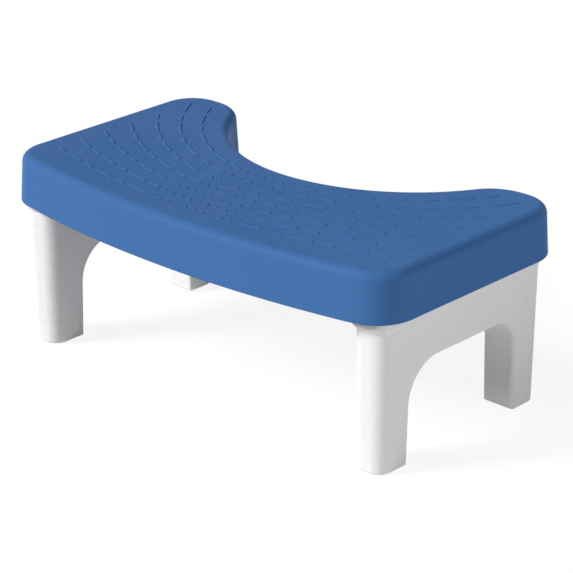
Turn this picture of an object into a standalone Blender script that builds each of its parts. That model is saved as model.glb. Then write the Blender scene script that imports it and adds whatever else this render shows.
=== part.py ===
"""Toilet footstool: a ribbed seat shell that stands on two arched leg panels.

Units are metres and +Z is up. The front of the stool faces -Y, the cut-out that goes round the
bowl faces +Y, and the origin is on the floor under the middle of the seat. Each leg panel is an
open-topped moulding that plugs into a socket under the seat and is held there by snap hooks.
"""

import math

import bmesh
import bpy
from mathutils import Matrix

# Clearance between pieces that touch, how far cutters run past a face, and the welding distance
GAP = 0.0003
OVERRUN = 0.004
WELD_DISTANCE = 0.00001

# Seat shell: overall sizes, measured at its lower rim
SEAT_LENGTH = 0.430
SEAT_DEPTH = 0.2483
SEAT_HEIGHT = 0.1762
SKIRT_HEIGHT = 0.0430
SEAT_WALL = 0.0028
FRONT_BOW = 0.0237
LOBE_WIDTH = 0.0697
CUTOUT_DEPTH = 0.1008
FRONT_CORNER_RADIUS = 0.0365
REAR_CORNER_RADIUS = 0.0342
LOBE_FLAT = 0.0071
TOP_EDGE_RADIUS = 0.0080
RIM_EDGE_RADIUS = 0.0012
SKIRT_DRAFT = math.radians(3.5)

# Tread ribs on the seat, in rows counted from the cut-out to the front. Each half of a row is laid
# out on even stations: a dot takes one, a short dash two and a long dash three.
TREAD_HEIGHT = 0.0008
TREAD_WIDTH = 0.0024
TREAD_DRAFT = math.radians(20)
TREAD_SETBACK = 0.0275
FIRST_ROW_SETBACK = 0.0256
LAST_ROW_SETBACK = 0.0295
ROW_RADIUS_SHARES = (1.20, 1.37, 1.58, 1.88, 2.31, 2.94, 3.96)
ROW_PATTERNS = ("...SLSLSLS", "...SSLSLSL", "...SLSLSLS", "...SSLSLSL", "....SSLSLSS", ".....SLSLSL",
                ".....LSLSLS")
STATIONS = {".": 1, "S": 2, "L": 3}

# Ribs under the seat
RIB_THICKNESS = 0.0018
RIB_PITCH = 0.0340
RIB_RECESS = 0.0100

# Leg panels: where their outer faces stand at floor level, and their section
END_SETBACK = 0.0114
FRONT_SETBACK = 0.0327
REAR_SETBACK = 0.0200
LEG_THICKNESS = 0.0314
FRONT_FOOT_DEPTH = 0.0337
REAR_FOOT_DEPTH = 0.0276
LEG_DRAFT = math.radians(0.8)
LEG_WALL = 0.0030
LEG_FRONT_RADIUS = 0.0125
LEG_REAR_RADIUS = 0.0050
SOLE_EDGE_RADIUS = 0.0015
SOLE_WALL = 0.0036
CROSSBAR_DEPTH = 0.0476
ARCH_FRONT_RADIUS = 0.0340
ARCH_REAR_RADIUS = 0.0260
ARCH_OUTER_ROUND = 0.0050
ARCH_INNER_ROUND = 0.0025
LEG_RIB_SHARES = (0.0, 0.25, 0.5, 0.75, 1.0)

# Flange that stops each leg panel under the rim
FLANGE_THICKNESS = 0.0033
FLANGE_FRONT_OVERHANG = 0.0086
FLANGE_REAR_OVERHANG = 0.0020
FLANGE_SIDE_OVERHANG = 0.0004
FLANGE_CORNER_RADIUS = 0.0220

# Plug on top of each leg panel, its socket under the seat and the snap hooks between them
PLUG_DRAFT = math.radians(0.5)
PLUG_CHAMFER = 0.0010
SOCKET_WALL = 0.0020
TONGUE_WIDTH = 0.0140
TONGUE_LENGTH = 0.0260
TONGUE_SLOT = 0.0012
HOOK_DROP = 0.0110
HOOK_HEIGHT = 0.0050
HOOK_REACH = 0.0014
HOOK_LAND = 0.0008
SNAP_SHARES = (0.125, 0.875)

# Rubber pads let into the soles
PAD_DIAMETER = 0.0200
PAD_THICKNESS = 0.0018
PAD_PROUD = 0.0008
PAD_EDGE = 0.0004

# Facets along each stretch of an outline
FRONT_STEPS = 8
CORNER_STEPS = 7
CUTOUT_STEPS = 12
EDGE_STEPS = 5
BULLNOSE_STEPS = 7
ROUND_STEPS = 4
PAD_STEPS = 24
DOT_STEPS = 6
ROUND_STOP = math.radians(76)

# Places worked out from the sizes above
HALF_LENGTH = SEAT_LENGTH / 2
HALF_DEPTH = SEAT_DEPTH / 2
RIM_Z = SEAT_HEIGHT - SKIRT_HEIGHT
CEILING_Z = SEAT_HEIGHT - SEAT_WALL
FOOT_OUTER_X = HALF_LENGTH - END_SETBACK
FOOT_INNER_X = FOOT_OUTER_X - LEG_THICKNESS
FOOT_FRONT_Y = FRONT_SETBACK - HALF_DEPTH
FOOT_REAR_Y = HALF_DEPTH - REAR_SETBACK
ARCH_FRONT_Y = FOOT_FRONT_Y + FRONT_FOOT_DEPTH
ARCH_REAR_Y = FOOT_REAR_Y - REAR_FOOT_DEPTH
ARCH_TOP_Z = RIM_Z - CROSSBAR_DEPTH
FLANGE_TOP_Z = RIM_Z - GAP
PLUG_TOP_Z = CEILING_Z - GAP
HOOK_Z = PLUG_TOP_Z - HOOK_DROP


def bow_radius(half_chord, rise):
    """Radius of an arc from half its chord and its rise."""
    return (half_chord ** 2 + rise ** 2) / (2 * rise)


FRONT_RADIUS = bow_radius(HALF_LENGTH, FRONT_BOW)
FRONT_CENTRE_Y = FRONT_RADIUS - HALF_DEPTH
CUTOUT_RADIUS = bow_radius(HALF_LENGTH - LOBE_WIDTH, CUTOUT_DEPTH)
CUTOUT_CENTRE_Y = HALF_DEPTH - CUTOUT_DEPTH + CUTOUT_RADIUS
LOBE_CORNER_X = HALF_LENGTH - REAR_CORNER_RADIUS - LOBE_FLAT
LOBE_CORNER_RADIUS = CUTOUT_DEPTH / 2 - CUTOUT_RADIUS + LOBE_CORNER_X ** 2 / (2 * CUTOUT_DEPTH)
ROW_PITCH = (SEAT_DEPTH - CUTOUT_DEPTH - FIRST_ROW_SETBACK - LAST_ROW_SETBACK) / (len(ROW_PATTERNS) - 1)


def arc(centre_x, centre_y, radius, start, end, steps):
    """Points along an arc, both ends included."""
    points = []
    for step in range(steps + 1):
        angle = start + (end - start) * step / steps
        points.append((centre_x + radius * math.cos(angle), centre_y + radius * math.sin(angle)))
    return points


def at_height(outline, z):
    """Lift a plan outline to a height."""
    return [(x, y, z) for x, y in outline]


def add_object(name, mesh_data, collection, material=None):
    """Store a bmesh as a named object, with its faces pointing out."""
    bmesh.ops.recalc_face_normals(mesh_data, faces=mesh_data.faces)
    mesh = bpy.data.meshes.new(name)
    mesh_data.to_mesh(mesh)
    mesh_data.free()
    new_object = bpy.data.objects.new(name, mesh)
    collection.objects.link(new_object)
    if material:
        mesh.materials.append(material)
    else:
        new_object.hide_render = True
        new_object.display_type = "WIRE"
    return new_object


def loft_into(mesh_data, rings):
    """Skin a stack of rings that have the same number of points, and close both ends."""
    loops = [[mesh_data.verts.new(point) for point in ring] for ring in rings]
    for lower, upper in zip(loops, loops[1:]):
        for index, corner in enumerate(lower):
            after = (index + 1) % len(lower)
            mesh_data.faces.new((corner, lower[after], upper[after], upper[index]))
    mesh_data.faces.new(loops[0])
    mesh_data.faces.new(loops[-1])


def block_into(mesh_data, low, high):
    """A box between two corners."""
    centre = [(a + b) / 2 for a, b in zip(low, high)]
    size = [abs(b - a) for a, b in zip(low, high)]
    place = Matrix.Translation(centre) @ Matrix.Diagonal((*size, 1))
    bmesh.ops.create_cube(mesh_data, size=1, matrix=place)


def combine(target, tool, operation):
    """Add a live Boolean to an object."""
    modifier = target.modifiers.new(tool.name, "BOOLEAN")
    modifier.operation = operation
    modifier.solver = "EXACT"
    modifier.object = tool


def plastic(name, colour, roughness):
    """A plain moulded material."""
    material = bpy.data.materials.new(name)
    material.use_nodes = True
    shader = material.node_tree.nodes["Principled BSDF"]
    shader.inputs["Base Color"].default_value = (*colour, 1)
    shader.inputs["Roughness"].default_value = roughness
    shader.inputs["Metallic"].default_value = 0
    return material


# Plan of the seat
def seat_outline(inset):
    """The seat's outline moved in by inset: the right half from front to cut-out, then the left."""
    front_x = HALF_LENGTH - FRONT_CORNER_RADIUS
    front_y = FRONT_CENTRE_Y - math.sqrt((FRONT_RADIUS - FRONT_CORNER_RADIUS) ** 2 - front_x ** 2)
    front_angle = math.atan2(front_y - FRONT_CENTRE_Y, front_x)
    rear_x = HALF_LENGTH - REAR_CORNER_RADIUS
    rear_y = HALF_DEPTH - REAR_CORNER_RADIUS
    lobe_x = LOBE_CORNER_X
    lobe_y = HALF_DEPTH - LOBE_CORNER_RADIUS
    lobe_angle = math.atan2(lobe_y - CUTOUT_CENTRE_Y, lobe_x)
    right_angle = math.pi / 2
    half = arc(0, FRONT_CENTRE_Y, FRONT_RADIUS - inset, -right_angle, front_angle, FRONT_STEPS)
    half += arc(front_x, front_y, FRONT_CORNER_RADIUS - inset, front_angle, 0, CORNER_STEPS)[1:]
    half += arc(rear_x, rear_y, REAR_CORNER_RADIUS - inset, 0, right_angle, CORNER_STEPS)
    half += arc(lobe_x, lobe_y, LOBE_CORNER_RADIUS - inset, right_angle, lobe_angle + math.pi, CORNER_STEPS)
    half += arc(0, CUTOUT_CENTRE_Y, CUTOUT_RADIUS + inset, lobe_angle, -right_angle, CUTOUT_STEPS)[1:]
    mirrored = [(-x, y) for x, y in reversed(half[1:-1])]
    return half + mirrored


def seat_ring(inset, z):
    """The seat's outline at one height."""
    return at_height(seat_outline(inset), z)


def skirt_inset(z):
    """How far the drafted skirt has leaned in at a height."""
    return (z - RIM_Z) * math.tan(SKIRT_DRAFT)


def top_edge(wall):
    """Insets and heights up the rolled top edge, on a face that lies wall deep."""
    centre_z = SEAT_HEIGHT - TOP_EDGE_RADIUS
    centre_inset = skirt_inset(centre_z) + TOP_EDGE_RADIUS / math.cos(SKIRT_DRAFT)
    return arc(centre_inset, centre_z, TOP_EDGE_RADIUS - wall, math.pi - SKIRT_DRAFT, math.pi / 2,
               EDGE_STEPS)


def rim_edge():
    """Insets and heights round the skirt's lower outer edge, from below upwards."""
    centre_z = RIM_Z + RIM_EDGE_RADIUS
    centre_inset = skirt_inset(centre_z) + RIM_EDGE_RADIUS / math.cos(SKIRT_DRAFT)
    return arc(centre_inset, centre_z, RIM_EDGE_RADIUS, 1.5 * math.pi, math.pi - SKIRT_DRAFT, 2)


def build_seat_skin(collection, material):
    """Top plate, rolled edge and skirt as one closed wall: down the inside and up the outside."""
    inner = [(SEAT_WALL / math.cos(SKIRT_DRAFT), RIM_Z)] + top_edge(SEAT_WALL)
    profile = list(reversed(inner)) + rim_edge() + top_edge(0)
    skin = bmesh.new()
    loft_into(skin, [seat_ring(inset, z) for inset, z in profile])
    return add_object("seat_shell", skin, collection, material)


# Tread
def row_reach(row_y, radius):
    """Angle at which a row's arc gets too near the seat's end or its rear."""
    across = (HALF_LENGTH - TREAD_SETBACK) / radius
    back = (HALF_DEPTH - TREAD_SETBACK - row_y) / radius
    return min(math.asin(min(across, 1)), math.acos(max(1 - back, -1)))


def row_point(row_y, radius, angle, offset=0):
    """A point beside a row's middle line, offset towards the rear."""
    distance = radius - offset
    return distance * math.sin(angle), row_y + radius - distance * math.cos(angle)


def dash_outline(row_y, radius, start, end, half_width):
    """A dash from the middle of one station to the middle of another, with narrowed ends."""
    tip = half_width / radius
    stations = ((start - tip, half_width / 2), (start - tip / 2, half_width),
                (end + tip / 2, half_width), (end + tip, half_width / 2))
    front = [row_point(row_y, radius, angle, -offset) for angle, offset in stations]
    rear = [row_point(row_y, radius, angle, offset) for angle, offset in reversed(stations)]
    return front + rear


def build_tread(collection):
    """Every dot and dash as a small drafted plug whose foot is sunk in the top plate."""
    levels = []
    for z in (SEAT_HEIGHT - SEAT_WALL / 2, SEAT_HEIGHT + TREAD_HEIGHT):
        levels.append((z, TREAD_WIDTH / 2 + (SEAT_HEIGHT - z) * math.tan(TREAD_DRAFT)))
    tread = bmesh.new()
    for row, pattern in enumerate(ROW_PATTERNS):
        radius = ROW_RADIUS_SHARES[row] * CUTOUT_RADIUS
        row_y = HALF_DEPTH - CUTOUT_DEPTH - FIRST_ROW_SETBACK - row * ROW_PITCH
        station_count = sum(STATIONS[mark] for mark in pattern)
        spacing = row_reach(row_y, radius) / (station_count - 0.5)
        station = 0.5
        for mark in pattern:
            start = station * spacing
            end = start + (STATIONS[mark] - 1) * spacing
            station += STATIONS[mark]
            for side in (-1, 1):
                rings = []
                for z, half_width in levels:
                    if mark == ".":
                        x, y = row_point(row_y, radius, start)
                        outline = arc(x, y, half_width, 0, 2 * math.pi, DOT_STEPS)[1:]
                    else:
                        outline = dash_outline(row_y, radius, start, end, half_width)
                    rings.append([(side * x, y, z) for x, y in outline])
                loft_into(tread, rings)
    return add_object("tread_ribs", tread, collection)


# Plan of a leg panel
def panel_outline(side, spread, front_overhang=0, rear_overhang=0, outer_front_radius=None):
    """Plan of a leg panel at floor level, grown by spread, with longer ends where asked."""
    inner_x = FOOT_INNER_X - spread
    outer_x = FOOT_OUTER_X + spread
    front_y = FOOT_FRONT_Y - spread - front_overhang
    rear_y = FOOT_REAR_Y + spread + rear_overhang
    front_radius = LEG_FRONT_RADIUS + spread
    outer_radius = outer_front_radius or front_radius
    rear_radius = LEG_REAR_RADIUS + spread
    quarter = math.pi / 2
    outline = arc(outer_x - outer_radius, front_y + outer_radius, outer_radius, -quarter, 0, BULLNOSE_STEPS)
    outline += arc(outer_x - rear_radius, rear_y - rear_radius, rear_radius, 0, quarter, ROUND_STEPS)
    outline += arc(inner_x + rear_radius, rear_y - rear_radius, rear_radius, quarter, math.pi, ROUND_STEPS)
    outline += arc(inner_x + front_radius, front_y + front_radius, front_radius, math.pi, 3 * quarter,
                   BULLNOSE_STEPS)
    return [(side * x, y) for x, y in outline]


def draft_spread(z):
    """How far the panel's faces have leaned out at a height."""
    return z * math.tan(LEG_DRAFT)


def plug_spread(z):
    """The plug starts flush with the panel at the rim and narrows upwards."""
    return draft_spread(RIM_Z) - (z - RIM_Z) * math.tan(PLUG_DRAFT)


def build_leg_body(name, side, collection, material):
    """Foot, panel, flange and plug as one solid, from the sole up."""
    rings = []
    for inset, z in arc(SOLE_EDGE_RADIUS, PAD_PROUD + SOLE_EDGE_RADIUS, SOLE_EDGE_RADIUS,
                        1.5 * math.pi, math.pi, ROUND_STEPS):
        rings.append(at_height(panel_outline(side, draft_spread(z) - inset), z))
    flange_z = FLANGE_TOP_Z - FLANGE_THICKNESS
    rings.append(at_height(panel_outline(side, draft_spread(flange_z)), flange_z))
    flange = panel_outline(side, draft_spread(flange_z) + FLANGE_SIDE_OVERHANG, FLANGE_FRONT_OVERHANG,
                           FLANGE_REAR_OVERHANG, FLANGE_CORNER_RADIUS)
    rings.append(at_height(flange, flange_z))
    rings.append(at_height(flange, FLANGE_TOP_Z))
    chamfer_z = PLUG_TOP_Z - PLUG_CHAMFER
    rings.append(at_height(panel_outline(side, plug_spread(FLANGE_TOP_Z)), FLANGE_TOP_Z))
    rings.append(at_height(panel_outline(side, plug_spread(chamfer_z)), chamfer_z))
    rings.append(at_height(panel_outline(side, plug_spread(chamfer_z) - PLUG_CHAMFER), PLUG_TOP_Z))
    body = bmesh.new()
    loft_into(body, rings)
    return add_object(name, body, collection, material)


# The arch between the feet
def arch_outline(grow):
    """Arch in Y and Z, grown by grow all round: up its front side, over and down its rear side."""
    slope = math.tan(LEG_DRAFT)
    top_z = ARCH_TOP_Z + grow
    sole_z = PAD_PROUD + SOLE_EDGE_RADIUS
    below_z = -OVERRUN

    def foot_round(side_y, outwards):
        """The side's lower end, flared round the sole's edge."""
        points = [(side_y + outwards * SOLE_EDGE_RADIUS, below_z)]
        for flare, z in arc(SOLE_EDGE_RADIUS, sole_z, SOLE_EDGE_RADIUS, math.pi + ROUND_STOP, math.pi,
                            ROUND_STEPS):
            points.append((side_y + outwards * flare, z))
        return points

    front_radius = ARCH_FRONT_RADIUS + grow
    rear_radius = ARCH_REAR_RADIUS + grow
    front_low = top_z - front_radius
    rear_low = top_z - rear_radius
    front_y = ARCH_FRONT_Y - grow + front_low * slope
    rear_y = ARCH_REAR_Y + grow - rear_low * slope
    quarter = math.pi / 2
    points = foot_round(ARCH_FRONT_Y - grow + sole_z * slope, -1)
    points += arc(front_y + front_radius, front_low, front_radius, math.pi, quarter, BULLNOSE_STEPS)
    points += arc(rear_y - rear_radius, rear_low, rear_radius, quarter, 0, BULLNOSE_STEPS)
    points += reversed(foot_round(ARCH_REAR_Y + grow - sole_z * slope, 1))
    return points


def round_over(radius):
    """Depths behind a face and growths of a cut that rounds the edge it makes, from deep to shallow."""
    profile = [(radius - rise, growth) for growth, rise in
               arc(radius, 0, radius, math.pi, math.pi - ROUND_STOP, ROUND_STEPS)]
    depth, growth = profile[-1]
    profile.append((-depth, growth + 2 * depth * math.tan(ROUND_STOP)))
    return profile


def build_arch_cutter(side, collection):
    """The arch as a tunnel through the panel that flares out at both faces."""
    rings = []
    for depth, growth in reversed(round_over(ARCH_INNER_ROUND)):
        rings.append([(side * (FOOT_INNER_X - draft_spread(z) + depth), y, z)
                      for y, z in arch_outline(growth)])
    for depth, growth in round_over(ARCH_OUTER_ROUND):
        rings.append([(side * (FOOT_OUTER_X + draft_spread(z) - depth), y, z)
                      for y, z in arch_outline(growth)])
    tunnel = bmesh.new()
    loft_into(tunnel, rings)
    return add_object("arch_cutter", tunnel, collection)


def build_hollow_cutter(side, cutters):
    """Core of the panel: two deep wells over the feet, a channel over the arch, split by ribs."""
    floor_z = PAD_PROUD + SOLE_WALL
    top_z = PLUG_TOP_Z + OVERRUN
    core = bmesh.new()
    loft_into(core, [at_height(panel_outline(side, draft_spread(z) - LEG_WALL), z) for z in (floor_z, top_z)])
    hollow = add_object("hollow_cutter", core, cutters)
    near_x = FOOT_INNER_X - LEG_THICKNESS
    far_x = FOOT_OUTER_X + LEG_THICKNESS
    liner = bmesh.new()
    loft_into(liner, [[(side * x, y, z) for y, z in arch_outline(LEG_WALL)] for x in (near_x, far_x)])
    combine(hollow, add_object("arch_liner", liner, cutters), "DIFFERENCE")
    plates = bmesh.new()
    for share in LEG_RIB_SHARES:
        middle_y = ARCH_FRONT_Y + share * (ARCH_REAR_Y - ARCH_FRONT_Y)
        low = (side * near_x, middle_y - RIB_THICKNESS / 2, 0)
        high = (side * far_x, middle_y + RIB_THICKNESS / 2, RIM_Z)
        block_into(plates, low, high)
    combine(hollow, add_object("leg_rib_plates", plates, cutters), "DIFFERENCE")
    return hollow


# Snap fit between plug and socket
def snap_places():
    """Middle of each snap tongue along the panel."""
    return [ARCH_FRONT_Y + share * (ARCH_REAR_Y - ARCH_FRONT_Y) for share in SNAP_SHARES]


def plug_faces(side):
    """X of the plug's inner and outer faces at the hooks, each with its outward direction."""
    spread = plug_spread(HOOK_Z)
    return [(side * (FOOT_INNER_X - spread), -side), (side * (FOOT_OUTER_X + spread), side)]


def build_tongue_slots(side, collection):
    """Slots that free each snap tongue from the plug's wall."""
    slots = bmesh.new()
    for face_x, outwards in plug_faces(side):
        for middle_y in snap_places():
            for direction in (-1, 1):
                slot_y = middle_y + direction * (TONGUE_WIDTH + TONGUE_SLOT) / 2
                low = (face_x - outwards * (LEG_WALL + TONGUE_SLOT), slot_y - TONGUE_SLOT / 2,
                       PLUG_TOP_Z - TONGUE_LENGTH)
                high = (face_x + outwards * SOCKET_WALL, slot_y + TONGUE_SLOT / 2, PLUG_TOP_Z + OVERRUN)
                block_into(slots, low, high)
    return add_object("tongue_slots", slots, collection)


def build_hooks(side, collection):
    """Wedges on the tongues: a flat catch below and a ramp that leads in from above."""
    hooks = bmesh.new()
    for face_x, outwards in plug_faces(side):
        for middle_y in snap_places():
            root_x = face_x - outwards * LEG_WALL / 2
            tip_x = face_x + outwards * HOOK_REACH
            section = [(root_x, HOOK_Z), (tip_x, HOOK_Z), (tip_x, HOOK_Z + HOOK_LAND),
                       (root_x, HOOK_Z + HOOK_HEIGHT)]
            half_width = TONGUE_WIDTH / 2 - GAP
            ends = (middle_y - half_width, middle_y + half_width)
            loft_into(hooks, [[(x, y, z) for x, z in section] for y in ends])
    return add_object("snap_hooks", hooks, collection)


def build_windows(side, collection):
    """Windows in the socket's walls that the hooks click into."""
    windows = bmesh.new()
    for face_x, outwards in plug_faces(side):
        for middle_y in snap_places():
            low = (face_x - outwards * SOCKET_WALL, middle_y - TONGUE_WIDTH / 2 - GAP, HOOK_Z - GAP)
            high = (face_x + outwards * 2 * SOCKET_WALL, middle_y + TONGUE_WIDTH / 2 + GAP,
                    HOOK_Z + HOOK_HEIGHT + GAP)
            block_into(windows, low, high)
    return add_object("snap_windows", windows, collection)


# Ribs and sockets under the seat
def build_seat_ribs(cutters):
    """A grid of ribs and two leg sockets, trimmed to end inside the shell's own wall."""
    lattice_top = SEAT_HEIGHT
    rib_low_z = RIM_Z + RIB_RECESS
    across = bmesh.new()
    socket_wall_x = FOOT_INNER_X - plug_spread(RIM_Z) - GAP - SOCKET_WALL / 2
    side_count = round(socket_wall_x / RIB_PITCH)
    for number in range(-side_count, side_count + 1):
        middle_x = number * socket_wall_x / side_count
        block_into(across, (middle_x - RIB_THICKNESS / 2, -SEAT_DEPTH, rib_low_z),
                   (middle_x + RIB_THICKNESS / 2, SEAT_DEPTH, lattice_top))
    ribs = add_object("ribs_across", across, cutters)
    along = bmesh.new()
    cell_count = round(SEAT_DEPTH / RIB_PITCH)
    for number in range(1, cell_count):
        middle_y = number * SEAT_DEPTH / cell_count - HALF_DEPTH
        block_into(along, (-SEAT_LENGTH, middle_y - RIB_THICKNESS / 2, rib_low_z),
                   (SEAT_LENGTH, middle_y + RIB_THICKNESS / 2, lattice_top))
    combine(ribs, add_object("ribs_along", along, cutters), "UNION")
    sockets = bmesh.new()
    pockets = bmesh.new()
    for side in (-1, 1):
        outer = panel_outline(side, plug_spread(RIM_Z) + GAP + SOCKET_WALL)
        loft_into(sockets, [at_height(outer, z) for z in (RIM_Z, lattice_top)])
        loft_into(pockets, [at_height(panel_outline(side, plug_spread(z) + GAP), z)
                            for z in (RIM_Z - OVERRUN, lattice_top + OVERRUN)])
    combine(ribs, add_object("socket_blocks", sockets, cutters), "UNION")
    combine(ribs, add_object("socket_pockets", pockets, cutters), "DIFFERENCE")
    for side in (-1, 1):
        combine(ribs, build_windows(side, cutters), "DIFFERENCE")
    mid_wall = SEAT_WALL / 2
    lower = (skirt_inset(RIM_Z - OVERRUN) + mid_wall, RIM_Z - OVERRUN)
    envelope = bmesh.new()
    loft_into(envelope, [seat_ring(inset, z) for inset, z in [lower] + top_edge(mid_wall)])
    combine(ribs, add_object("seat_envelope", envelope, cutters), "INTERSECT")
    return ribs


# Feet
def foot_places(side):
    """Middle of the front and rear foot of a panel."""
    middle_x = side * (FOOT_INNER_X + FOOT_OUTER_X) / 2
    return {"front": (middle_x, (FOOT_FRONT_Y + ARCH_FRONT_Y) / 2),
            "rear": (middle_x, (FOOT_REAR_Y + ARCH_REAR_Y) / 2)}


def build_pad_recesses(side, collection):
    """Round recesses in the soles, one clearance wider and deeper than the pads."""
    top_z = PAD_THICKNESS + GAP
    recesses = bmesh.new()
    for middle_x, middle_y in foot_places(side).values():
        place = Matrix.Translation((middle_x, middle_y, (top_z - OVERRUN) / 2))
        radius = PAD_DIAMETER / 2 + GAP
        bmesh.ops.create_cone(recesses, cap_ends=True, segments=PAD_STEPS, radius1=radius, radius2=radius,
                              depth=top_z + OVERRUN, matrix=place)
    return add_object("pad_recesses", recesses, collection)


def build_pad(name, place, collection, material):
    """A rubber disc with eased edges, turned from its profile."""
    radius = PAD_DIAMETER / 2
    profile = [(0, PAD_THICKNESS), (radius - PAD_EDGE, PAD_THICKNESS), (radius, PAD_THICKNESS - PAD_EDGE),
               (radius, PAD_EDGE), (radius - PAD_EDGE, 0), (0, 0)]
    mesh = bpy.data.meshes.new(name)
    edges = [(index, index + 1) for index in range(len(profile) - 1)]
    mesh.from_pydata([(x, 0, z) for x, z in profile], edges, [])
    mesh.materials.append(material)
    pad = bpy.data.objects.new(name, mesh)
    pad.location = (*place, 0)
    collection.objects.link(pad)
    turn = pad.modifiers.new("turned", "SCREW")
    turn.steps = PAD_STEPS
    turn.render_steps = PAD_STEPS
    turn.use_merge_vertices = True
    turn.merge_threshold = WELD_DISTANCE
    return pad


# Assembly
def build_leg(name, side, parts, cutters, material):
    """One leg panel with its arch, hollow, snap hooks and pad recesses."""
    leg = build_leg_body(name, side, parts, material)
    combine(leg, build_arch_cutter(side, cutters), "DIFFERENCE")
    combine(leg, build_hollow_cutter(side, cutters), "DIFFERENCE")
    combine(leg, build_tongue_slots(side, cutters), "DIFFERENCE")
    combine(leg, build_hooks(side, cutters), "UNION")
    combine(leg, build_pad_recesses(side, cutters), "DIFFERENCE")
    return leg


def build_stool():
    """All pieces, in their places."""
    for old in list(bpy.data.objects):
        bpy.data.objects.remove(old, do_unlink=True)
    parts = bpy.data.collections.new("toilet_footstool")
    cutters = bpy.data.collections.new("cutters")
    bpy.context.scene.collection.children.link(parts)
    bpy.context.scene.collection.children.link(cutters)
    blue = plastic("seat_blue", (0.060, 0.145, 0.350), 0.45)
    white = plastic("leg_white", (0.820, 0.820, 0.820), 0.55)
    rubber = plastic("pad_rubber", (0.250, 0.255, 0.260), 0.80)
    seat = build_seat_skin(parts, blue)
    combine(seat, build_seat_ribs(cutters), "UNION")
    combine(seat, build_tread(cutters), "UNION")
    for name, side in (("left", -1), ("right", 1)):
        build_leg(name + "_leg", side, parts, cutters, white)
        for end, place in foot_places(side).items():
            build_pad(end + "_" + name + "_pad", place, parts, rubber)


build_stool()
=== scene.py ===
"""Toilet footstool, seen as in its photograph: a blue ribbed seat on two white plug-in leg panels.

Units are metres and +Z is up. The front faces -Y, the cut-out faces +Y and the origin is on the floor.
The pieces come in the order in which the stool is put together: leg panels, foot pads, seat.
"""
import math

import bmesh
import bpy
from mathutils import Matrix, Vector


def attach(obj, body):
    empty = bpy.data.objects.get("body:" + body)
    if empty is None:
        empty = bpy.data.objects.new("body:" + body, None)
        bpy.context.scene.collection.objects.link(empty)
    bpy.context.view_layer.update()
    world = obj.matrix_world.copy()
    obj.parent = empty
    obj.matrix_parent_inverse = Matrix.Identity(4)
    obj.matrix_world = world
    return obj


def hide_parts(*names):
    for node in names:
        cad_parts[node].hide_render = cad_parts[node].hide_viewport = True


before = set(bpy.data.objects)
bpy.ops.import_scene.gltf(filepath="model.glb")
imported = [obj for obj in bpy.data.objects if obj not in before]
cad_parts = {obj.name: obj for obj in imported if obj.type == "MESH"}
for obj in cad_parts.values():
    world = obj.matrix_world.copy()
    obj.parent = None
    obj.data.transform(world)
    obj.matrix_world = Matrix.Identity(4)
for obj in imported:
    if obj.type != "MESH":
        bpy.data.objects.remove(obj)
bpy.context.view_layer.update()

# Leg panels ------------------------------------------------------------------------------------------
# Each real panel is one hollow moulding of white fine-grained polypropylene, open at the top. Its arch
# leaves a front and a rear foot, a collar stops it under the seat's socket, and the plug above the
# collar goes up into the socket, where hooks on sprung tongues click into windows.
OUTER_X = 0.2036
INNER_X = 0.1722
FRONT_Y = -0.09145
REAR_Y = 0.10415
LEG_DRAFT = math.radians(0.8)
LEG_WALL = 0.0030
FRONT_RADIUS = 0.0125
REAR_RADIUS = 0.0050
SOLE_Z = 0.0008
SOLE_EDGE = 0.0028
SOLE_WALL = 0.0036
ARCH_FRONT_Y = -0.05775
ARCH_REAR_Y = 0.07655
ARCH_TOP_Z = 0.0856
ARCH_FRONT_RADIUS = 0.0340
ARCH_REAR_RADIUS = 0.0260
ARCH_OUTER_ROUND = 0.0050
ARCH_INNER_ROUND = 0.0025
ROUND_STOP = math.radians(84)
LEG_RIB_SHARES = (0.0, 0.25, 0.5, 0.75, 1.0)
RIB_THICKNESS = 0.0018
RIM_Z = 0.1332
CEILING_Z = 0.1734
GAP = 0.0003
COLLAR_HEIGHT = 0.0090
COLLAR_FRONT = 0.0018
COLLAR_REAR = 0.0004
COLLAR_SIDE = 0.0004
COLLAR_EDGE = 0.0004
COLLAR_TURN = 0.0026
COLLAR_TIGHTER = 0.0050
PLUG_DRAFT = math.radians(0.5)
PLUG_CHAMFER = 0.0010
TONGUE_WIDTH = 0.0140
TONGUE_LENGTH = 0.0260
TONGUE_SLOT = 0.0012
HOOK_DROP = 0.0110
HOOK_HEIGHT = 0.0050
HOOK_REACH = 0.0014
HOOK_LAND = 0.0008
SNAP_SHARES = (0.125, 0.875)
RECESS_RADIUS = 0.0103
RECESS_TOP = 0.0021
LEG_WHITE = (0.875, 0.875, 0.873, 1)
LEG_SHADE = (0.785, 0.785, 0.782, 1)
GRAIN_DETAIL = 2
GRAIN_CONTRAST = (0.35, 0.65)
BLOTCH_DETAIL = 4
BLOTCH_ROUGHNESS = 0.6
SHEEN_CONTRAST = (0.3, 0.7)
FRONT_STEPS = 20
REAR_STEPS = 12
EDGE_STEPS = 8
ARCH_STEPS = 28
ARCH_OUTER_STEPS = 12
DISC_STEPS = 64
OVERRUN = 0.004
WELD_DISTANCE = 0.000001
LOFT_STEP = 0.01
SHARP_ANGLE = math.radians(32)
FLATTEST = 100
QUARTER = math.pi / 2

COLLAR_TOP_Z = RIM_Z - GAP
PLUG_TOP_Z = CEILING_Z - GAP
HOOK_Z = PLUG_TOP_Z - HOOK_DROP


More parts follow.
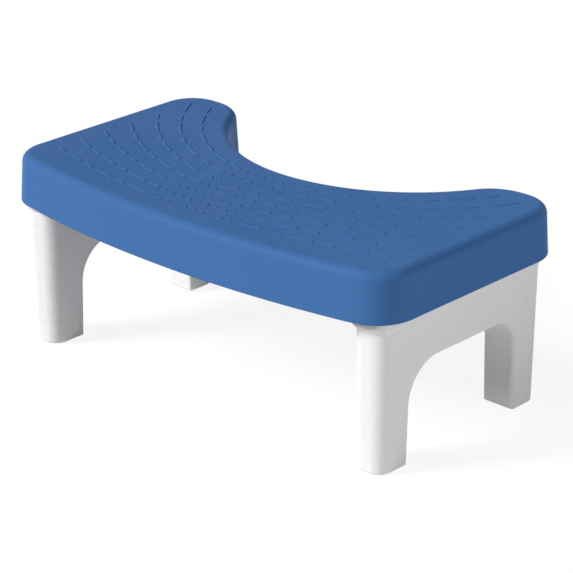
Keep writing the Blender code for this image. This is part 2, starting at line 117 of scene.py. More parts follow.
def draw_loop(mesh, corners, height):
    """Spin a vertex round each corner of a flat outline and join the arcs; gives the loop's edges.

    A corner is its centre, radius, first angle, turn and steps. The loop is drawn by itself and then
    added to the mesh, because the operators slow down as a mesh grows.
    """
    drawing = bmesh.new()
    ends = []
    for centre_x, centre_y, radius, start, turn, steps in corners:
        centre = Vector((centre_x, centre_y, height))
        first = last = drawing.verts.new(centre + radius * Vector((math.cos(start), math.sin(start), 0)))
        if steps:
            swept = bmesh.ops.spin(drawing, geom=[first], cent=centre, axis=(0, 0, 1), angle=turn,
                                   steps=steps)
            last = [part for part in swept["geom_last"] if isinstance(part, bmesh.types.BMVert)][0]
        ends.append((first, last))
    for (_, last), (first, _) in zip(ends, ends[1:] + ends[:1]):
        drawing.edges.new((last, first))
    bmesh.ops.remove_doubles(drawing, verts=drawing.verts, dist=WELD_DISTANCE)
    outline = bpy.data.meshes.new("outline")
    drawing.to_mesh(outline)
    drawing.free()
    edges_before = len(mesh.edges)
    mesh.from_mesh(outline)
    bpy.data.meshes.remove(outline)
    mesh.edges.ensure_lookup_table()
    return mesh.edges[edges_before:]


def loft(mesh, stack):
    """Draw a stack of flat outlines, bridge them in turn, close both ends and put each in its place.

    They are held a little apart while they are bridged, so that none in one plane is bridged askew.
    """
    loops = [draw_loop(mesh, corners, number * LOFT_STEP) for number, (corners, _) in enumerate(stack)]
    for lower, upper in zip(loops, loops[1:]):
        bmesh.ops.bridge_loops(mesh, edges=lower + upper)
    for loop in (loops[0], loops[-1]):
        bmesh.ops.contextual_create(mesh, geom=loop)
    for number, (loop, (_, place)) in enumerate(zip(loops, stack)):
        drawn = list({vert for edge in loop for vert in edge.verts})
        lower_back = Matrix.Translation((0, 0, -number * LOFT_STEP))
        bmesh.ops.transform(mesh, matrix=place @ lower_back, verts=drawn)


def level(z):
    """Place of a plan outline at a height."""
    return Matrix.Translation((0, 0, z))


def add_block(mesh, low, high):
    """A box between two corners."""
    low, high = Vector(low), Vector(high)
    size = Matrix.Diagonal((*(abs(length) for length in high - low), 1))
    bmesh.ops.create_cube(mesh, size=1, matrix=Matrix.Translation((low + high) / 2) @ size)


def store(name, mesh):
    """Turn a bmesh into an object whose faces point out."""
    bmesh.ops.recalc_face_normals(mesh, faces=mesh.faces)
    data = bpy.data.meshes.new(name)
    mesh.to_mesh(data)
    mesh.free()
    made = bpy.data.objects.new(name, data)
    bpy.context.scene.collection.objects.link(made)
    return made


def carve(target, tool, operation):
    """Join, cut or trim the target with a tool by an exact Boolean, and drop the tool."""
    modifier = target.modifiers.new("carve", "BOOLEAN")
    modifier.operation = operation
    modifier.solver = "EXACT"
    modifier.object = tool
    graph = bpy.context.evaluated_depsgraph_get()
    carved = bpy.data.meshes.new_from_object(target.evaluated_get(graph))
    target.modifiers.clear()
    spent = [target.data, tool.data]
    target.data = carved
    bpy.data.objects.remove(tool)
    for data in spent:
        bpy.data.meshes.remove(data)


def dress(piece, material):
    """Shade softly across rounds, crisply at edges and flat on flats."""
    piece.data.materials.clear()
    piece.data.materials.append(material)
    for face in piece.data.polygons:
        face.use_smooth = True
        face.material_index = 0
    piece.data.set_sharp_from_angle(angle=SHARP_ANGLE)
    weighted = piece.modifiers.new("flats_stay_flat", "WEIGHTED_NORMAL")
    weighted.keep_sharp = True
    weighted.weight = FLATTEST


def panel_corners(spread, front=0, rear=0, tighter=0):
    """Plan of the right leg panel, grown by spread, with longer ends and tighter front corners."""
    inner_x, outer_x = INNER_X - spread, OUTER_X + spread
    front_y, rear_y = FRONT_Y - spread - front, REAR_Y + spread + rear
    front_radius, rear_radius = FRONT_RADIUS + spread - tighter, REAR_RADIUS + spread
    return [
        (outer_x - front_radius, front_y + front_radius, front_radius, -QUARTER, QUARTER, FRONT_STEPS),
        (outer_x - rear_radius, rear_y - rear_radius, rear_radius, 0, QUARTER, REAR_STEPS),
        (inner_x + rear_radius, rear_y - rear_radius, rear_radius, QUARTER, QUARTER, REAR_STEPS),
        (inner_x + front_radius, front_y + front_radius, front_radius, math.pi, QUARTER, FRONT_STEPS),
    ]


def draft_spread(z):
    """How far the panel's faces have leaned out at a height."""
    return z * math.tan(LEG_DRAFT)


def plug_spread(z):
    """The plug starts flush with the panel at the rim and narrows upwards."""
    return draft_spread(RIM_Z) - (z - RIM_Z) * math.tan(PLUG_DRAFT)


def plain_corner(x, y):
    """A corner of an outline that isn't rounded."""
    return (x, y, 0, 0, 0, 0)


def arch_corners(grow):
    """The arch in Y and Z, grown by grow: its sides flare below, round the sole's edge."""
    top_z = ARCH_TOP_Z + grow
    edge_z = SOLE_Z + SOLE_EDGE
    front_y, rear_y = ARCH_FRONT_Y - grow, ARCH_REAR_Y + grow
    front_edge = front_y + draft_spread(edge_z) - SOLE_EDGE
    rear_edge = rear_y - draft_spread(edge_z) + SOLE_EDGE
    front_radius, rear_radius = ARCH_FRONT_RADIUS + grow, ARCH_REAR_RADIUS + grow
    front_low, rear_low = top_z - front_radius, top_z - rear_radius
    return [
        plain_corner(front_edge, -OVERRUN),
        (front_edge, edge_z, SOLE_EDGE, -ROUND_STOP, ROUND_STOP, EDGE_STEPS),
        (front_y + draft_spread(front_low) + front_radius, front_low, front_radius,
         math.pi, -QUARTER, ARCH_STEPS),
        (rear_y - draft_spread(rear_low) - rear_radius, rear_low, rear_radius,
         QUARTER, -QUARTER, ARCH_STEPS),
        (rear_edge, edge_z, SOLE_EDGE, math.pi, ROUND_STOP, EDGE_STEPS),
        plain_corner(rear_edge, -OVERRUN),
    ]


def facing_end(x, lean=0):
    """Stands an outline of Y and Z up at a distance along X, leaning with height."""
    return Matrix(((0, lean, 1, x), (1, 0, 0, 0), (0, 1, 0, 0), (0, 0, 0, 1)))


def flare_profile(radius, steps):
    """Depths behind a face and growths of a cut that rounds the edge it makes, from deep to shallow."""
    profile = []
    for step in range(steps + 1):
        angle = ROUND_STOP * step / steps
        profile.append((radius - radius * math.sin(angle), radius - radius * math.cos(angle)))
    depth, growth = profile[-1]
    profile.append((-depth, growth + 2 * depth * math.tan(ROUND_STOP)))
    return profile


# The panel as a solid, from the sole up to the top of its plug
panel = bmesh.new()
stack = []
for step in range(EDGE_STEPS + 1):
    angle = QUARTER * step / EDGE_STEPS
    z = SOLE_Z + SOLE_EDGE * (1 - math.cos(angle))
    stack.append((panel_corners(draft_spread(z) - SOLE_EDGE * (1 - math.sin(angle))), level(z)))
collar_z = COLLAR_TOP_Z - COLLAR_HEIGHT
for step in range(EDGE_STEPS + 1):
    angle = QUARTER * step / EDGE_STEPS
    share = math.sin(angle)
    stack.append((panel_corners(draft_spread(collar_z) + COLLAR_SIDE * share, COLLAR_FRONT * share,
                                COLLAR_REAR * share, COLLAR_TIGHTER * share),
                  level(collar_z + COLLAR_TURN * (1 - math.cos(angle)))))
for inset, z in ((0, COLLAR_TOP_Z - COLLAR_EDGE), (COLLAR_EDGE, COLLAR_TOP_Z)):
    stack.append((panel_corners(draft_spread(collar_z) + COLLAR_SIDE - inset, COLLAR_FRONT, COLLAR_REAR,
                                COLLAR_TIGHTER), level(z)))
chamfer_z = PLUG_TOP_Z - PLUG_CHAMFER
stack.append((panel_corners(plug_spread(COLLAR_TOP_Z)), level(COLLAR_TOP_Z)))
stack.append((panel_corners(plug_spread(chamfer_z)), level(chamfer_z)))
stack.append((panel_corners(plug_spread(chamfer_z) - PLUG_CHAMFER), level(PLUG_TOP_Z)))
loft(panel, stack)
right_leg = store("right_leg_panel", panel)

# The arch, as a tunnel that flares out at both faces
lean = math.tan(LEG_DRAFT)
tunnel = bmesh.new()
stack = [(arch_corners(growth), facing_end(INNER_X + depth, -lean))
         for depth, growth in reversed(flare_profile(ARCH_INNER_ROUND, EDGE_STEPS))]
stack += [(arch_corners(growth), facing_end(OUTER_X - depth, lean))
          for depth, growth in flare_profile(ARCH_OUTER_ROUND, ARCH_OUTER_STEPS)]
loft(tunnel, stack)
carve(right_leg, store("arch", tunnel), "DIFFERENCE")

# The hollow: wells over the feet and a channel over the arch, split by cross ribs
core = bmesh.new()
loft(core, [(panel_corners(draft_spread(z) - LEG_WALL), level(z))
            for z in (SOLE_Z + SOLE_WALL, PLUG_TOP_Z + OVERRUN)])
core = store("core", core)
liner = bmesh.new()
loft(liner, [(arch_corners(LEG_WALL), facing_end(x)) for x in (INNER_X - LEG_WALL, OUTER_X + LEG_WALL)])
carve(core, store("liner", liner), "DIFFERENCE")
plates = bmesh.new()
for share in LEG_RIB_SHARES:
    middle_y = ARCH_FRONT_Y + share * (ARCH_REAR_Y - ARCH_FRONT_Y)
    add_block(plates, (INNER_X - LEG_WALL, middle_y - RIB_THICKNESS / 2, 0),
              (OUTER_X + LEG_WALL, middle_y + RIB_THICKNESS / 2, RIM_Z))
carve(core, store("plates", plates), "DIFFERENCE")
carve(right_leg, core, "DIFFERENCE")

# Sprung tongues in the plug's walls, with their hooks, and the recesses for the foot pads
plug_faces = ((INNER_X - plug_spread(HOOK_Z), -1), (OUTER_X + plug_spread(HOOK_Z), 1))
snap_places = [ARCH_FRONT_Y + share * (ARCH_REAR_Y - ARCH_FRONT_Y) for share in SNAP_SHARES]
upright = Matrix(((1, 0, 0, 0), (0, 0, 1, 0), (0, 1, 0, 0), (0, 0, 0, 1)))
slots = bmesh.new()
hooks = bmesh.new()
for face_x, outwards in plug_faces:
    for middle_y in snap_places:
        for direction in (-1, 1):
            slot_y = middle_y + direction * (TONGUE_WIDTH + TONGUE_SLOT) / 2
            add_block(slots, (face_x - outwards * (LEG_WALL + TONGUE_SLOT), slot_y - TONGUE_SLOT / 2,
                              PLUG_TOP_Z - TONGUE_LENGTH),
                      (face_x + outwards * TONGUE_SLOT, slot_y + TONGUE_SLOT / 2, PLUG_TOP_Z + OVERRUN))
        root_x = face_x - outwards * LEG_WALL / 2
        tip_x = face_x + outwards * HOOK_REACH
        wedge = [plain_corner(root_x, HOOK_Z), plain_corner(tip_x, HOOK_Z),
                 plain_corner(tip_x, HOOK_Z + HOOK_LAND), plain_corner(root_x, HOOK_Z + HOOK_HEIGHT)]
        half_width = TONGUE_WIDTH / 2 - GAP
        loft(hooks, [(wedge, upright @ level(middle_y + end)) for end in (-half_width, half_width)])
carve(right_leg, store("slots", slots), "DIFFERENCE")
carve(right_leg, store("hooks", hooks), "UNION")
recesses = bmesh.new()
foot_x = (INNER_X + OUTER_X) / 2
foot_ys = {"front": (FRONT_Y + ARCH_FRONT_Y) / 2, "rear": (REAR_Y + ARCH_REAR_Y) / 2}
for foot_y in foot_ys.values():
    bmesh.ops.create_cone(recesses, cap_ends=True, segments=DISC_STEPS, radius1=RECESS_RADIUS,
                          radius2=RECESS_RADIUS, depth=RECESS_TOP + OVERRUN,
                          matrix=Matrix.Translation((foot_x, foot_y, (RECESS_TOP - OVERRUN) / 2)))
carve(right_leg, store("recesses", recesses), "DIFFERENCE")


def link_up(tree, *pairs):
    """Join node sockets, each pair given as an output and an input."""
    for output, target in pairs:
        tree.links.new(output, target)


def grain_group():
    """Look shared by the moulded plastics and the rubber: a fine grain and slow blotches."""
    tree = bpy.data.node_groups.new("moulded_grain", "ShaderNodeTree")
    for name, kind in (("Vector", "NodeSocketVector"), ("Grain Scale", "NodeSocketFloat"),
                       ("Blotch Scale", "NodeSocketFloat")):
        tree.interface.new_socket(name, in_out="INPUT", socket_type=kind)
    for name in ("Grain", "Blotch"):
        tree.interface.new_socket(name, in_out="OUTPUT", socket_type="NodeSocketFloat")
    entry = tree.nodes.new("NodeGroupInput")
    leave = tree.nodes.new("NodeGroupOutput")
    grain = tree.nodes.new("ShaderNodeTexNoise")
    grain.inputs["Detail"].default_value = GRAIN_DETAIL
    blotch = tree.nodes.new("ShaderNodeTexNoise")
    blotch.inputs["Detail"].default_value = BLOTCH_DETAIL
    blotch.inputs["Roughness"].default_value = BLOTCH_ROUGHNESS
    spread = tree.nodes.new("ShaderNodeMapRange")
    spread.inputs["From Min"].default_value = GRAIN_CONTRAST[0]
    spread.inputs["From Max"].default_value = GRAIN_CONTRAST[1]
    link_up(tree, (entry.outputs["Vector"], grain.inputs["Vector"]),
            (entry.outputs["Grain Scale"], grain.inputs["Scale"]),
            (entry.outputs["Vector"], blotch.inputs["Vector"]),
            (entry.outputs["Blotch Scale"], blotch.inputs["Scale"]),
            (grain.outputs["Fac"], spread.inputs["Value"]),
            (spread.outputs["Result"], leave.inputs["Grain"]),
            (blotch.outputs["Fac"], leave.inputs["Blotch"]))
    return tree


grain_tree = grain_group()


def moulded(name, light, shade, specular, roughness, grain_scale, blotch_scale, grain_share, bump,
            grain_height):
    """A moulded material: blotches and grain shift its tint, blotches its gloss, and grain raises it."""
    material = bpy.data.materials.new(name)
    material.use_nodes = True
    tree = material.node_tree
    shader = tree.nodes["Principled BSDF"]
    shader.inputs["Metallic"].default_value = 0
    shader.inputs["Specular IOR Level"].default_value = specular
    place = tree.nodes.new("ShaderNodeTexCoord")
    look = tree.nodes.new("ShaderNodeGroup")
    look.node_tree = grain_tree
    look.inputs["Grain Scale"].default_value = grain_scale
    look.inputs["Blotch Scale"].default_value = blotch_scale
    blend = tree.nodes.new("ShaderNodeMix")
    blend.inputs["Factor"].default_value = grain_share
    tint = tree.nodes.new("ShaderNodeMix")
    tint.data_type = "RGBA"
    tint.inputs["A"].default_value = light
    tint.inputs["B"].default_value = shade
    sheen = tree.nodes.new("ShaderNodeMapRange")
    sheen.inputs["From Min"].default_value = SHEEN_CONTRAST[0]
    sheen.inputs["From Max"].default_value = SHEEN_CONTRAST[1]
    sheen.inputs["To Min"].default_value = roughness[0]
    sheen.inputs["To Max"].default_value = roughness[1]
    relief = tree.nodes.new("ShaderNodeBump")
    relief.inputs["Strength"].default_value = bump
    relief.inputs["Distance"].default_value = grain_height
    link_up(tree, (place.outputs["Object"], look.inputs["Vector"]),
            (look.outputs["Blotch"], blend.inputs["A"]),
            (look.outputs["Grain"], blend.inputs["B"]),
            (blend.outputs["Result"], tint.inputs["Factor"]),
            (tint.outputs["Result"], shader.inputs["Base Color"]),
            (look.outputs["Blotch"], sheen.inputs["Value"]),
            (sheen.outputs["Result"], shader.inputs["Roughness"]),
            (look.outputs["Grain"], relief.inputs["Height"]),
            (relief.outputs["Normal"], shader.inputs["Normal"]))
    return material


leg_white = moulded("leg_white", LEG_WHITE, LEG_SHADE, specular=0.3, roughness=(0.50, 0.62),
                    grain_scale=900, blotch_scale=22, grain_share=0.65, bump=0.45, grain_height=0.00014)
dress(right_leg, leg_white)
mirrored = bmesh.new()
mirrored.from_mesh(right_leg.data)
bmesh.ops.transform(mirrored, matrix=Matrix.Scale(-1, 4, (1, 0, 0)), verts=mirrored.verts)
bmesh.ops.reverse_faces(mirrored, faces=mirrored.faces)
left_leg = store("left_leg_panel", mirrored)
dress(left_leg, leg_white)
for leg, node in ((right_leg, "right_leg"), (left_leg, "left_leg")):
    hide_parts(node)
    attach(leg, "root")

# Foot pads -------------------------------------------------------------------------------------------
# Each real pad is a stamped disc of soft matt grey rubber with eased edges, glued into a round recess
# in the sole and standing a little proud of it, so that the stool grips a wet floor.
PAD_RADIUS = 0.0100
PAD_THICKNESS = 0.0018
PAD_EDGE = 0.0004
PAD_EDGE_STEPS = 4
RUBBER_GREY = (0.250, 0.255, 0.260, 1)
RUBBER_SHADE = (0.190, 0.195, 0.200, 1)

rubber = moulded("pad_rubber", RUBBER_GREY, RUBBER_SHADE, specular=0.3, roughness=(0.72, 0.86),
                 grain_scale=1400, blotch_scale=60, grain_share=0.6, bump=0.6, grain_height=0.0001)
for side_name, side in (("left", -1), ("right", 1)):
    for end, foot_y in foot_ys.items():
        disc = bmesh.new()
        bmesh.ops.create_cone(disc, cap_ends=True, segments=DISC_STEPS, radius1=PAD_RADIUS,
                              radius2=PAD_RADIUS, depth=PAD_THICKNESS,
                              matrix=Matrix.Translation((side * foot_x, foot_y, PAD_THICKNESS / 2)))
        rims = [edge for edge in disc.edges if edge.verts[0].co.z == edge.verts[1].co.z]
        bmesh.ops.bevel(disc, geom=rims, offset=PAD_EDGE, affect="EDGES", segments=PAD_EDGE_STEPS,
                        profile=0.5, material=-1)
        pad = store(end + "_" + side_name + "_rubber_pad", disc)
        dress(pad, rubber)
        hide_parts(end + "_" + side_name + "_pad")
        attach(pad, "root")

# Seat moulding ---------------------------------------------------------------------------------------
# The real seat is one injection moulding of mid-blue satin polypropylene. A drafted skirt hangs from a
# plate with a rolled edge, curved rows of low tread ribs stand on the plate, and a grid of thin ribs
# and two sockets for the leg panels hang under it. It is pushed down over the plugs until they click.
SEAT_LENGTH = 0.430
SEAT_DEPTH = 0.2483
SEAT_HEIGHT = 0.1762
SEAT_WALL = SEAT_HEIGHT - CEILING_Z
FRONT_BOW = 0.0237
LOBE_WIDTH = 0.0697
CUTOUT_DEPTH = 0.1008
FRONT_CORNER_RADIUS = 0.0365
REAR_CORNER_RADIUS = 0.0342
LOBE_FLAT = 0.0071
TOP_EDGE_RADIUS = 0.0080
RIM_EDGE_RADIUS = 0.0012
SKIRT_DRAFT = math.radians(3.5)
HOLDING_INSET = 0.0025
RIB_PITCH = 0.0340
RIB_RECESS = 0.0100
SOCKET_WALL = 0.0020
TREAD_HEIGHT = 0.0008
TREAD_WIDTH = 0.0030
TREAD_TURN = math.radians(75)
TREAD_SETBACK = 0.0275
FIRST_ROW_SETBACK = 0.0256
LAST_ROW_SETBACK = 0.0295
ROW_RADIUS_SHARES = (1.20, 1.37, 1.58, 1.88, 2.31, 2.94, 3.96)
ROW_PATTERNS = ("...SLSLSLS", "...SSLSLSL", "...SLSLSLS", "...SSLSLSL", "....SSLSLSS", ".....SLSLSL",
                ".....LSLSLS")
STATIONS = {".": 1, "S": 2, "L": 3}
FIRST_STATION = 0.5
SEAT_BLUE = (0.060, 0.165, 0.402, 1)
SEAT_BLUE_SHADE = (0.056, 0.155, 0.382, 1)
BOW_STEPS = 56
CORNER_STEPS = 20
CUTOUT_STEPS = 72
TOP_EDGE_STEPS = 10
HIDDEN_EDGE_STEPS = 6
RIM_EDGE_STEPS = 4
DASH_STEPS = 6
DASH_END_STEPS = 8
DOME_STEPS = 5

HALF_LENGTH = SEAT_LENGTH / 2
HALF_DEPTH = SEAT_DEPTH / 2


def bow_radius(half_chord, rise):
    """Radius of an arc from half its chord and its rise."""
    return (half_chord ** 2 + rise ** 2) / (2 * rise)


BOW_RADIUS = bow_radius(HALF_LENGTH, FRONT_BOW)
BOW_CENTRE_Y = BOW_RADIUS - HALF_DEPTH
CUTOUT_RADIUS = bow_radius(HALF_LENGTH - LOBE_WIDTH, CUTOUT_DEPTH)
CUTOUT_CENTRE_Y = HALF_DEPTH - CUTOUT_DEPTH + CUTOUT_RADIUS
LOBE_CORNER_X = HALF_LENGTH - REAR_CORNER_RADIUS - LOBE_FLAT
LOBE_CORNER_RADIUS = CUTOUT_DEPTH / 2 - CUTOUT_RADIUS + LOBE_CORNER_X ** 2 / (2 * CUTOUT_DEPTH)
ROW_PITCH = (SEAT_DEPTH - CUTOUT_DEPTH - FIRST_ROW_SETBACK - LAST_ROW_SETBACK) / (len(ROW_PATTERNS) - 1)


def seat_corners(inset):
    """The seat's outline moved in by inset, counter-clockwise from the left end of its front."""
    front_x = HALF_LENGTH - FRONT_CORNER_RADIUS
    front_y = BOW_CENTRE_Y - math.sqrt((BOW_RADIUS - FRONT_CORNER_RADIUS) ** 2 - front_x ** 2)
    front_angle = math.atan2(front_y - BOW_CENTRE_Y, front_x)
    rear_x, rear_y = HALF_LENGTH - REAR_CORNER_RADIUS, HALF_DEPTH - REAR_CORNER_RADIUS
    lobe_y = HALF_DEPTH - LOBE_CORNER_RADIUS
    lobe_angle = math.atan2(lobe_y - CUTOUT_CENTRE_Y, LOBE_CORNER_X)
    lobe_turn = lobe_angle + QUARTER
    front_corner, rear_corner = FRONT_CORNER_RADIUS - inset, REAR_CORNER_RADIUS - inset
    lobe_corner = LOBE_CORNER_RADIUS - inset
    return [
        (0, BOW_CENTRE_Y, BOW_RADIUS - inset, -math.pi - front_angle, 2 * front_angle + math.pi,
         BOW_STEPS),
        (front_x, front_y, front_corner, front_angle, -front_angle, CORNER_STEPS),
        (rear_x, rear_y, rear_corner, 0, QUARTER, CORNER_STEPS),
        (LOBE_CORNER_X, lobe_y, lobe_corner, QUARTER, lobe_turn, CORNER_STEPS),
        (0, CUTOUT_CENTRE_Y, CUTOUT_RADIUS + inset, lobe_angle, -2 * lobe_angle - math.pi,
         CUTOUT_STEPS),
        (-LOBE_CORNER_X, lobe_y, lobe_corner, -lobe_angle, lobe_turn, CORNER_STEPS),
        (-rear_x, rear_y, rear_corner, QUARTER, QUARTER, CORNER_STEPS),
        (-front_x, front_y, front_corner, math.pi, -front_angle, CORNER_STEPS),
    ]


def skirt_inset(z):
    """How far the drafted skirt has leaned in at a height."""
    return (z - RIM_Z) * math.tan(SKIRT_DRAFT)


def rounded(centre_z, radius, wall, start, end, steps):
    """Insets and heights round an edge of the skirt, on a face that lies wall deep."""
    centre = skirt_inset(centre_z) + radius / math.cos(SKIRT_DRAFT)
    own_radius = radius - wall
    profile = []
    for step in range(steps + 1):
        angle = start + (end - start) * step / steps
        profile.append((centre + own_radius * math.cos(angle), centre_z + own_radius * math.sin(angle)))
    return profile


# The skin: down the inside, round the rim, up the skirt and over the rolled edge
upright_angle = math.pi - SKIRT_DRAFT
edge_z = SEAT_HEIGHT - TOP_EDGE_RADIUS
inner = [(SEAT_WALL / math.cos(SKIRT_DRAFT), RIM_Z)]
inner += rounded(edge_z, TOP_EDGE_RADIUS, SEAT_WALL, upright_angle, QUARTER, HIDDEN_EDGE_STEPS)
outer = rounded(RIM_Z + RIM_EDGE_RADIUS, RIM_EDGE_RADIUS, 0, 3 * QUARTER, upright_angle, RIM_EDGE_STEPS)
outer += rounded(edge_z, TOP_EDGE_RADIUS, 0, upright_angle, QUARTER, TOP_EDGE_STEPS)
outer.append((outer[-1][0] + HOLDING_INSET, SEAT_HEIGHT))
shell = bmesh.new()
loft(shell, [(seat_corners(inset), level(z)) for inset, z in inner[::-1] + outer])
seat = store("seat_moulding", shell)

# The grid of ribs and the sockets, trimmed to end inside the shell's own wall
rib_low_z = RIM_Z + RIB_RECESS
socket_x = INNER_X - plug_spread(RIM_Z) - GAP - SOCKET_WALL / 2
side_count = round(socket_x / RIB_PITCH)
across = bmesh.new()
for number in range(-side_count, side_count + 1):
    middle_x = number * socket_x / side_count
    add_block(across, (middle_x - RIB_THICKNESS / 2, -SEAT_DEPTH, rib_low_z),
              (middle_x + RIB_THICKNESS / 2, SEAT_DEPTH, SEAT_HEIGHT))
ribs = store("ribs", across)
along = bmesh.new()
cell_count = round(SEAT_DEPTH / RIB_PITCH)
for number in range(1, cell_count):
    middle_y = number * SEAT_DEPTH / cell_count - HALF_DEPTH
    add_block(along, (-SEAT_LENGTH, middle_y - RIB_THICKNESS / 2, rib_low_z),
              (SEAT_LENGTH, middle_y + RIB_THICKNESS / 2, SEAT_HEIGHT))
carve(ribs, store("along", along), "UNION")
sockets, pockets, windows = bmesh.new(), bmesh.new(), bmesh.new()
loft(sockets, [(panel_corners(plug_spread(RIM_Z) + GAP + SOCKET_WALL), level(z))
               for z in (RIM_Z, SEAT_HEIGHT)])
loft(pockets, [(panel_corners(plug_spread(z) + GAP), level(z))
               for z in (RIM_Z - OVERRUN, SEAT_HEIGHT + OVERRUN)])
for face_x, outwards in plug_faces:
    for middle_y in snap_places:
        half_width = TONGUE_WIDTH / 2 + GAP
        add_block(windows, (face_x - outwards * SOCKET_WALL, middle_y - half_width, HOOK_Z - GAP),
                  (face_x + outwards * 2 * SOCKET_WALL, middle_y + half_width,
                   HOOK_Z + HOOK_HEIGHT + GAP))
for name, mesh, operation in (("sockets", sockets, "UNION"), ("pockets", pockets, "DIFFERENCE"),
                              ("windows", windows, "DIFFERENCE")):
    bmesh.ops.mirror(mesh, geom=mesh.verts[:] + mesh.edges[:] + mesh.faces[:], axis="X", merge_dist=0)
    carve(ribs, store(name, mesh), operation)
mid_wall = SEAT_WALL / 2
envelope = bmesh.new()
trim = [(skirt_inset(RIM_Z - OVERRUN) + mid_wall, RIM_Z - OVERRUN)]
trim += rounded(edge_z, TOP_EDGE_RADIUS, mid_wall, upright_angle, QUARTER, HIDDEN_EDGE_STEPS)
loft(envelope, [(seat_corners(inset), level(z)) for inset, z in trim])
carve(ribs, store("envelope", envelope), "INTERSECT")
carve(seat, ribs, "UNION")

# The tread: dots, short and long dashes along arcs, each a low rib with a rounded back. Along a row,
# counted from its middle, a mark takes up one, two or three stations.
levels = [(SEAT_HEIGHT - SEAT_WALL / 2, TREAD_WIDTH / 2)]
for step in range(DOME_STEPS + 1):
    angle = TREAD_TURN * step / DOME_STEPS
    levels.append((SEAT_HEIGHT + TREAD_HEIGHT * math.sin(angle) / math.sin(TREAD_TURN),
                   TREAD_WIDTH / 2 * math.cos(angle)))
tread = bmesh.new()
for row, pattern in enumerate(ROW_PATTERNS):
    row_radius = ROW_RADIUS_SHARES[row] * CUTOUT_RADIUS
    row_y = HALF_DEPTH - CUTOUT_DEPTH - FIRST_ROW_SETBACK - row * ROW_PITCH
    centre_y = row_y + row_radius
    reach = min(math.asin(min((HALF_LENGTH - TREAD_SETBACK) / row_radius, 1)),
                math.acos(max(1 - (HALF_DEPTH - TREAD_SETBACK - row_y) / row_radius, -1)))
    spacing = reach / (sum(STATIONS[mark] for mark in pattern) - FIRST_STATION)
    station = FIRST_STATION
    for mark in pattern:
        start = station * spacing - QUARTER
        turn = (STATIONS[mark] - 1) * spacing
        station += STATIONS[mark]
        caps = [(row_radius * math.cos(angle), centre_y + row_radius * math.sin(angle))
                for angle in (start + turn, start)]
        stack = []
        for z, width in levels:
            if mark == ".":
                corners = [(*caps[0], width, half_turn, math.pi, DASH_END_STEPS)
                           for half_turn in (0, math.pi)]
            else:
                corners = [(0, centre_y, row_radius + width, start, turn, DASH_STEPS),
                           (*caps[0], width, start + turn, math.pi, DASH_END_STEPS),
                           (0, centre_y, row_radius - width, start + turn, -turn, DASH_STEPS),
                           (*caps[1], width, start + math.pi, math.pi, DASH_END_STEPS)]
            stack.append((corners, level(z)))
        loft(tread, stack)
bmesh.ops.mirror(tread, geom=tread.verts[:] + tread.edges[:] + tread.faces[:], axis="X", merge_dist=0)
carve(seat, store("tread", tread), "UNION")

seat_blue = moulded("seat_blue", SEAT_BLUE, SEAT_BLUE_SHADE, specular=0.02, roughness=(0.44, 0.56),
                    grain_scale=1800, blotch_scale=14, grain_share=0.35, bump=0.25, grain_height=0.00008)
dress(seat, seat_blue)
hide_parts("seat_shell")
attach(seat, "root")

# Floor -----------------------------------------------------------------------------------------------
# A pale seamless studio floor: to the camera it is near white and keeps the stool's shadow, and to the
# stool it is a plain white surface that bounces light up.
FLOOR_SIZE = 4.0
FLOOR_Z = -0.0001
FLOOR_WHITE = (0.80, 0.80, 0.80, 1)
FLOOR_SEEN = (0.16, 0.16, 0.16, 1)
FLOOR_GLOW = 0.88


def seen_directly(tree):
    """Gives 1 for a ray that shows the backdrop itself: to the camera, in a gloss or through a pane."""
    path = tree.nodes.new("ShaderNodeLightPath")
    seen = tree.nodes.new("ShaderNodeMath")
    seen.operation = "MAXIMUM"
    seen_through = tree.nodes.new("ShaderNodeMath")
    seen_through.operation = "MAXIMUM"
    link_up(tree, (path.outputs["Is Camera Ray"], seen.inputs[0]),
            (path.outputs["Is Glossy Ray"], seen.inputs[1]),
            (seen.outputs[0], seen_through.inputs[0]),
            (path.outputs["Is Transmission Ray"], seen_through.inputs[1]))
    return seen_through.outputs[0]


plane = bmesh.new()
bmesh.ops.create_grid(plane, x_segments=1, y_segments=1, size=FLOOR_SIZE,
                      matrix=Matrix.Translation((0, 0, FLOOR_Z)))
floor = store("studio_floor", plane)
sheet = bpy.data.materials.new("studio_white")
sheet.use_nodes = True
tree = sheet.node_tree
tree.nodes.remove(tree.nodes["Principled BSDF"])
bounce = tree.nodes.new("ShaderNodeBsdfDiffuse")
bounce.inputs["Color"].default_value = FLOOR_WHITE
shown = tree.nodes.new("ShaderNodeBsdfDiffuse")
shown.inputs["Color"].default_value = FLOOR_SEEN
glow = tree.nodes.new("ShaderNodeEmission")
glow.inputs["Strength"].default_value = FLOOR_GLOW
lit = tree.nodes.new("ShaderNodeAddShader")
choice = tree.nodes.new("ShaderNodeMixShader")
under = tree.nodes.new("ShaderNodeNewGeometry")
clear = tree.nodes.new("ShaderNodeBsdfTransparent")
one_sided = tree.nodes.new("ShaderNodeMixShader")
link_up(tree, (shown.outputs[0], lit.inputs[0]), (glow.outputs[0], lit.inputs[1]),
        (seen_directly(tree), choice.inputs[0]), (bounce.outputs[0], choice.inputs[1]),
        (lit.outputs[0], choice.inputs[2]), (under.outputs["Backfacing"], one_sided.inputs[0]),
        (choice.outputs[0], one_sided.inputs[1]), (clear.outputs[0], one_sided.inputs[2]),
        (one_sided.outputs[0], tree.nodes["Material Output"].inputs["Surface"]))
floor.data.materials.append(sheet)

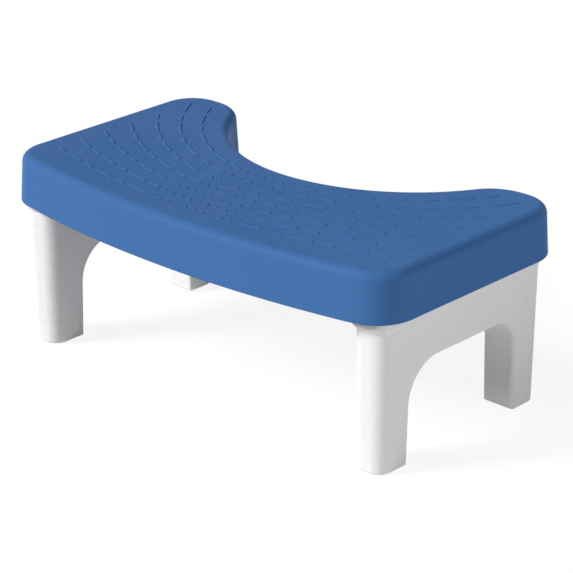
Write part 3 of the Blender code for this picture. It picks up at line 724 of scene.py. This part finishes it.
# Light -----------------------------------------------------------------------------------------------
# A broad key from the front left, a panel at the right and a weaker one behind, in an even pale
# surround, as in a product photograph.
KEY_AZIMUTH = math.radians(-34)
KEY_ELEVATION = math.radians(34.5)
KEY_STRENGTH = 3.35
KEY_SOFTNESS = math.radians(20)
PANEL_SIZE = 0.8
PANELS = {"right_panel": ((1.40, -0.05, 0.60), 5.2), "back_panel": ((0.20, 1.50, 0.30), 2.0)}
PANEL_AIM = (0.10, 0.0, 0.10)
SURROUND_WHITE = (1, 1, 1, 1)
SURROUND_LIGHT = 0.09
SURROUND_SEEN = 1

key = bpy.data.lights.new("key", "SUN")
key.energy = KEY_STRENGTH
key.angle = KEY_SOFTNESS
key_lamp = bpy.data.objects.new("key", key)
bpy.context.scene.collection.objects.link(key_lamp)
towards = Vector((math.sin(KEY_AZIMUTH) * math.cos(KEY_ELEVATION),
                  -math.cos(KEY_AZIMUTH) * math.cos(KEY_ELEVATION), math.sin(KEY_ELEVATION)))
key_lamp.rotation_euler = towards.to_track_quat("Z", "Y").to_euler()
for name, (place, watts) in PANELS.items():
    panel_light = bpy.data.lights.new(name, "AREA")
    panel_light.size = PANEL_SIZE
    panel_light.energy = watts
    lamp = bpy.data.objects.new(name, panel_light)
    lamp.location = place
    lamp.rotation_euler = (Vector(place) - Vector(PANEL_AIM)).to_track_quat("Z", "Y").to_euler()
    bpy.context.scene.collection.objects.link(lamp)

world = bpy.data.worlds.new("pale_surround")
world.use_nodes = True
bpy.context.scene.world = world
tree = world.node_tree
strength = tree.nodes.new("ShaderNodeMapRange")
strength.inputs["To Min"].default_value = SURROUND_LIGHT
strength.inputs["To Max"].default_value = SURROUND_SEEN
background = tree.nodes["Background"]
background.inputs["Color"].default_value = SURROUND_WHITE
link_up(tree, (seen_directly(tree), strength.inputs["Value"]),
        (strength.outputs["Result"], background.inputs["Strength"]))
bpy.context.scene.view_settings.view_transform = "Standard"

# Camera ----------------------------------------------------------------------------------------------
# The photograph's own viewpoint: from the front right and a little above, through a long lens, so that
# the stool's parallel edges stay nearly parallel.
CAMERA_PLACE = (1.3073, -1.3969, 0.8786)
CAMERA_AZIMUTH = math.radians(42.686)
CAMERA_ELEVATION = math.radians(22.690)
CAMERA_LENS = 153.39
CAMERA_SENSOR = 36.0

camera_data = bpy.data.cameras.new("photo_view")
camera_data.lens = CAMERA_LENS
camera_data.sensor_width = CAMERA_SENSOR
camera = bpy.data.objects.new("photo_view", camera_data)
camera.location = CAMERA_PLACE
camera.rotation_euler = (QUARTER - CAMERA_ELEVATION, 0, CAMERA_AZIMUTH)
bpy.context.scene.collection.objects.link(camera)
bpy.context.scene.camera = camera
